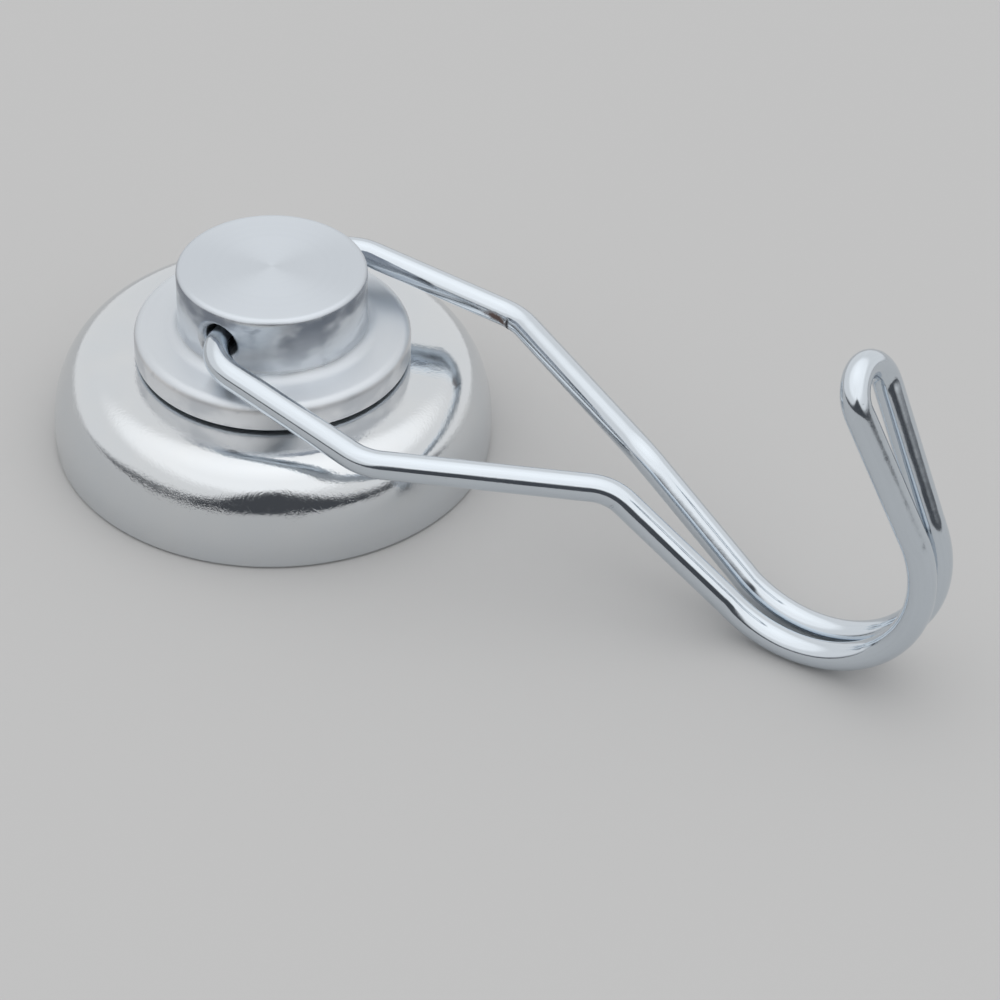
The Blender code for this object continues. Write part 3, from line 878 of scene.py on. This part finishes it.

# Painted shade: dark patches on the side, a small share of them on the flange, and stronger towards the
# knob's top.
drawn_out = vector_math(tree, "MULTIPLY_ADD", place, PATCH_STRETCH, PATCH_SHIFT)
broad_noise = noise(tree, drawn_out, *PATCH_NOISE)
patches = remap(tree, broad_noise, *PATCH_EDGES, *PATCH_SHARES, smooth=True)
fine_noise = noise(tree, drawn_out, *WISP_NOISE)
wisps = remap(tree, fine_noise, *WISP_EDGES, *WISP_SHARES, smooth=True)
shade_towards_top = remap(tree, height, FILLET_TOP, KNOB_TOP - 2 * KNOB_ROUND, FLANGE_SHADE_SHARE, 1.0)
painted_shade = calculate(tree, "MAXIMUM", patches, wisps)
for share in (on_side, shade_towards_top, off_bore):
    painted_shade = calculate(tree, "MULTIPLY", painted_shade, share)

# %% Head finish
ALUMINIUM = (0.65, 0.695, 0.745)
ALUMINIUM_BRIGHT = (0.70, 0.745, 0.795)
ALUMINIUM_PAINTED_LIGHT = (0.86, 0.885, 0.91)
ALUMINIUM_PAINTED_PALE = (0.84, 0.825, 0.81)
ALUMINIUM_PAINTED_SHADE = (0.26, 0.29, 0.34)
RING_ROUGHNESS = (0.30, 0.36)
FLANGE_ROUGHNESS = 0.06
SIDE_POLISH = 0.08
RING_DEPTH = 0.0012
RING_SMEAR = 0.9
SMEAR_TURN = 0.25

colour = mix_colours(tree, rings["Tone"], ALUMINIUM, ALUMINIUM_BRIGHT)
# Painted light: the flange's face and the knob's side are made lighter, and the flange's side paler, than
# the turned metal itself.
for first, second, share, tint in (
        (on_flange, on_face, 0.35, ALUMINIUM_PAINTED_LIGHT),
        (on_flange, on_side, 0.7, ALUMINIUM_PAINTED_PALE),
        (on_knob, on_side, 0.6, ALUMINIUM_PAINTED_LIGHT)):
    zone = calculate(tree, "MULTIPLY", first, second)
    colour = mix_colours(tree, calculate(tree, "MULTIPLY", zone, share), colour, tint)
# The painted shade pulls the colour towards a dark grey inside the patches.
tree.links.new(mix_colours(tree, painted_shade, colour, ALUMINIUM_PAINTED_SHADE), shader.inputs["Base Color"])
roughness = remap(tree, rings["Tone"], *NOISE_RANGE, *RING_ROUGHNESS)
roughness = calculate(tree, "ADD", roughness, calculate(tree, "MULTIPLY", on_flange, FLANGE_ROUGHNESS))
roughness = calculate(tree, "SUBTRACT", roughness, calculate(tree, "MULTIPLY", on_side, SIDE_POLISH))
tree.links.new(roughness, shader.inputs["Roughness"])
shader.inputs["Anisotropic"].default_value = RING_SMEAR
shader.inputs["Anisotropic Rotation"].default_value = SMEAR_TURN
tangent = add_node(tree, "ShaderNodeTangent", direction_type="RADIAL", axis="Z").outputs[0]
tree.links.new(tangent, shader.inputs["Tangent"])
raise_surface(tree, shader, [(rings["Height"], RING_DEPTH)])
dress(head, head_finish)

# %% [markdown]
# ## Bright plating on the wire
#
# The wire was drawn, bent and then plated bright. The drawing left faint lines along it, and the
# bending pins left a crease on the inside of each bend. At one bend of the far arm the plating has
# cracked across the crease, and a brown stain has crept out beside it. These marks follow the wire,
# so they read the place that was stored with its points: the direction round the wire in the first
# two numbers, and the distance along it in the third.

# %% Crease group
CREASE_WANDER = 0.16
CREASE_EDGE = (0.5, 1.3)
CREASE_END = (0.7, 1.1)

crease_group, given, results = new_group("bend_crease", {
    "Place": None, "Along": 0.0, "Side": None, "Slant": 0.0, "Half width": 0.1, "Reach": 0.5}, ["Mask"])
side_way = vector_math(crease_group, "DOT_PRODUCT", given["Place"], given["Side"])
quarter_turn = turned_about(crease_group, given["Side"], UPRIGHT, math.pi / 2)
round_way = vector_math(crease_group, "DOT_PRODUCT", given["Place"], quarter_turn)
distance_along = split_up(crease_group, given["Place"])["Z"]
offset = calculate(crease_group, "SUBTRACT", distance_along, given["Along"])
lean = calculate(crease_group, "MULTIPLY", round_way, given["Slant"])
slanted = calculate(crease_group, "ADD", offset, lean)
wander = calculate(crease_group, "SUBTRACT", noise(crease_group, given["Place"], 2.5), 0.5)
ragged = calculate(crease_group, "ADD", slanted, calculate(crease_group, "MULTIPLY", wander, CREASE_WANDER))
off_crease = calculate(crease_group, "ABSOLUTE", ragged)
across_crease = calculate(crease_group, "DIVIDE", off_crease, given["Half width"])
line = remap(crease_group, across_crease, *CREASE_EDGE, 1.0, 0.0, smooth=True)
off_side = calculate(crease_group, "ABSOLUTE", round_way)
round_reach = calculate(crease_group, "DIVIDE", off_side, given["Reach"])
sector = remap(crease_group, round_reach, *CREASE_END, 1.0, 0.0, smooth=True)
facing_side = calculate(crease_group, "GREATER_THAN", side_way, 0.0)
mask = calculate(crease_group, "MULTIPLY", calculate(crease_group, "MULTIPLY", line, sector), facing_side)
crease_group.links.new(mask, results["Mask"])

# %% Creases and stain
CREASES = (
    # distance along, direction round the wire in degrees, slant, half width, reach round the wire
    (72.05, -104.0, -0.02, 0.18, 0.8),
    (-71.8, -70.0, 0.1, 0.10, 0.6),
    (53.0, 169.0, 0.1, 0.10, 0.6),
    (-52.5, 150.0, 0.15, 0.12, 0.8),
)
STAIN_ALONG = 73.2
STAIN_TURN = -93.0
STAIN_HALF_LENGTH = 1.25
STAIN_HALF_WIDTH = 0.34
STAIN_NOISE = (2.2, 5.0, 0.75)
STAIN_RAGGEDNESS = 2.2
STAIN_EDGE = (0.4, 1.4)
STAIN_STRENGTH = 0.97

wire_finish, tree, shader, place = new_finish("bright_wire", 1.0)
along = add_node(tree, "ShaderNodeAttribute", attribute_name="wire_place").outputs["Vector"]


def round_direction(degrees):
    """Direction across the wire at an angle round it."""
    return (math.cos(math.radians(degrees)), math.sin(math.radians(degrees)), 0.0)


masks = []
for distance, degrees, slant, half_width, reach in CREASES:
    masks.append(use_group(tree, crease_group, {
        "Place": along, "Along": distance, "Side": round_direction(degrees), "Slant": slant,
        "Half width": half_width, "Reach": reach})["Mask"])
crack = masks[0]
creases = crack
for mask in masks[1:]:
    creases = calculate(tree, "MAXIMUM", creases, mask)

stain_side = vector_math(tree, "DOT_PRODUCT", along, round_direction(STAIN_TURN))
stain_round = vector_math(tree, "DOT_PRODUCT", along, round_direction(STAIN_TURN + 90.0))
stain_along = calculate(tree, "SUBTRACT", split_up(tree, along)["Z"], STAIN_ALONG)
squares = []
for distance, half_size in ((stain_along, STAIN_HALF_LENGTH), (stain_round, STAIN_HALF_WIDTH)):
    share = calculate(tree, "DIVIDE", distance, half_size)
    squares.append(calculate(tree, "MULTIPLY", share, share))
stain_reach = calculate(tree, "SQRT", calculate(tree, "ADD", *squares))
wander = calculate(tree, "SUBTRACT", noise(tree, along, *STAIN_NOISE), 0.5)
ragged_reach = calculate(tree, "ADD", stain_reach, calculate(tree, "MULTIPLY", wander, STAIN_RAGGEDNESS))
soaked = remap(tree, ragged_reach, *STAIN_EDGE, STAIN_STRENGTH, 0.0, smooth=True)
stain = calculate(tree, "MULTIPLY", soaked, calculate(tree, "GREATER_THAN", stain_side, 0.0))

# %% Wire finish
CHROME = (0.69, 0.745, 0.80)
CHROME_DULL = (0.63, 0.68, 0.73)
CRACK_COLOUR = (0.03, 0.028, 0.035)
STAIN_COLOUR = (0.115, 0.07, 0.058)
CHROME_ROUGHNESS = (0.08, 0.14)
CHROME_CLOUDS = (0.3, 0.75)
MARK_ROUGHNESS = 0.4
MARK_LOSS_OF_METAL = 0.8
DRAWN_STRETCH = (1.0, 1.0, 0.04)
DRAWN_NOISE = (5.0, 3.0, 0.6)
WAVE_NOISE = (0.35, 2.0, 0.5)
WAVE_DEPTH = 0.02
DRAWN_DEPTH = 0.002
WIRE_GRAIN_DEPTH = 0.003
WIRE_PIT_DEPTH = 0.01
CREASE_DEPTH = 0.06

drawn_place = vector_math(tree, "MULTIPLY", along, DRAWN_STRETCH)
drawn = noise(tree, drawn_place, *DRAWN_NOISE)
waves = noise(tree, along, *WAVE_NOISE)
grain = use_group(tree, grain_group, {"Place": place, "Grains per mm": 5.0, "Clouds per mm": 0.5})
pits = use_group(tree, pit_group, {"Place": place, "Cells per mm": 0.8, "Pit size": 0.05})
plated = mix_colours(tree, drawn, CHROME, CHROME_DULL)
stained = mix_colours(tree, stain, plated, STAIN_COLOUR)
tree.links.new(mix_colours(tree, crack, stained, CRACK_COLOUR), shader.inputs["Base Color"])
marked = calculate(tree, "MAXIMUM", stain, crack)
lost = calculate(tree, "MULTIPLY", marked, MARK_LOSS_OF_METAL)
tree.links.new(calculate(tree, "SUBTRACT", 1.0, lost), shader.inputs["Metallic"])
clean_roughness = remap(tree, grain["Clouds"], *CHROME_CLOUDS, *CHROME_ROUGHNESS)
marked_roughness = calculate(tree, "MULTIPLY", marked, MARK_ROUGHNESS)
tree.links.new(calculate(tree, "ADD", clean_roughness, marked_roughness), shader.inputs["Roughness"])
raise_surface(tree, shader, [
    (waves, WAVE_DEPTH), (drawn, DRAWN_DEPTH), (grain["Height"], WIRE_GRAIN_DEPTH),
    (pits["Mask"], -WIRE_PIT_DEPTH), (creases, -CREASE_DEPTH)])
dress(hook, wire_finish)

# %% [markdown]
# ## The hidden pieces
#
# The magnet, the resin, the two washers and the screw are seen only from below or through the slit.
# Each of them has a finish whose colour and roughness drift together in the clouds of its grain.
# The metal ones add faint rings and hairlines.

# %% Clouded finish
def clouded_finish(name, metallic, dark, light, roughness, grains, clouds):
    """Finish that drifts between two colours and two roughnesses, and the height of its grain."""
    finish, tree, shader, place = new_finish(name, metallic)
    inputs = {"Place": place, "Grains per mm": grains, "Clouds per mm": clouds}
    grain = use_group(tree, grain_group, inputs)
    tree.links.new(mix_colours(tree, grain["Clouds"], dark, light), shader.inputs["Base Color"])
    tree.links.new(remap(tree, grain["Clouds"], *NOISE_RANGE, *roughness), shader.inputs["Roughness"])
    return finish, tree, shader, place, grain["Height"]


# %% Resin and thrust washer
PLASTICS = (
    # piece, finish, dark and light colours, roughness, grains and clouds per mm, depth of grain
    (resin, "black_resin", (0.012, 0.012, 0.014), (0.03, 0.03, 0.032), (0.25, 0.5), 3.0, 0.4, 0.01),
    (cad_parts["thrust_washer"], "washer_polymer", (0.03, 0.03, 0.032), (0.06, 0.06, 0.06),
     (0.4, 0.6), 4.0, 0.5, 0.005),
)
for piece, title, dark, light, roughness, grains, clouds, depth in PLASTICS:
    finish, tree, shader, place, tooth = clouded_finish(title, 0.0, dark, light, roughness, grains, clouds)
    raise_surface(tree, shader, [(tooth, depth)])
    dress(piece, finish)

# %% Magnet, retaining washer and screw
METAL_GRAINS = 6.0
METAL_CLOUDS = 0.3
METAL_TOOTH = 0.003
METAL_RING_DEPTH = 0.002
METAL_HAIRLINE_DEPTH = 0.003
METALS = (
    # node, finish, dark and light colours, roughness
    ("disc_magnet", "magnet_nickel", (0.60, 0.61, 0.62), (0.68, 0.68, 0.66), (0.16, 0.26)),
    ("retaining_washer", "zinc_plate", (0.52, 0.54, 0.58), (0.60, 0.61, 0.62), (0.30, 0.45)),
    ("retaining_screw", "dark_screw_steel", (0.24, 0.24, 0.25), (0.34, 0.34, 0.34), (0.30, 0.45)),
)
for node_name, title, dark, light, roughness in METALS:
    finish, tree, shader, place, tooth = clouded_finish(
        title, 1.0, dark, light, roughness, METAL_GRAINS, METAL_CLOUDS)
    rings = use_group(tree, rings_group, {"Place": place, "Marks per mm": 5.0, "Wander": 0.05})
    lines = use_group(tree, hairline_group, {"Place": place, "Lines per mm": 1.4, "Thinness": 0.02})
    raise_surface(tree, shader, [
        (tooth, METAL_TOOTH), (rings["Height"], METAL_RING_DEPTH), (lines["Mask"], -METAL_HAIRLINE_DEPTH)])
    dress(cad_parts[node_name], finish)
print("finishes:", [finish.name for finish in bpy.data.materials if finish.users])
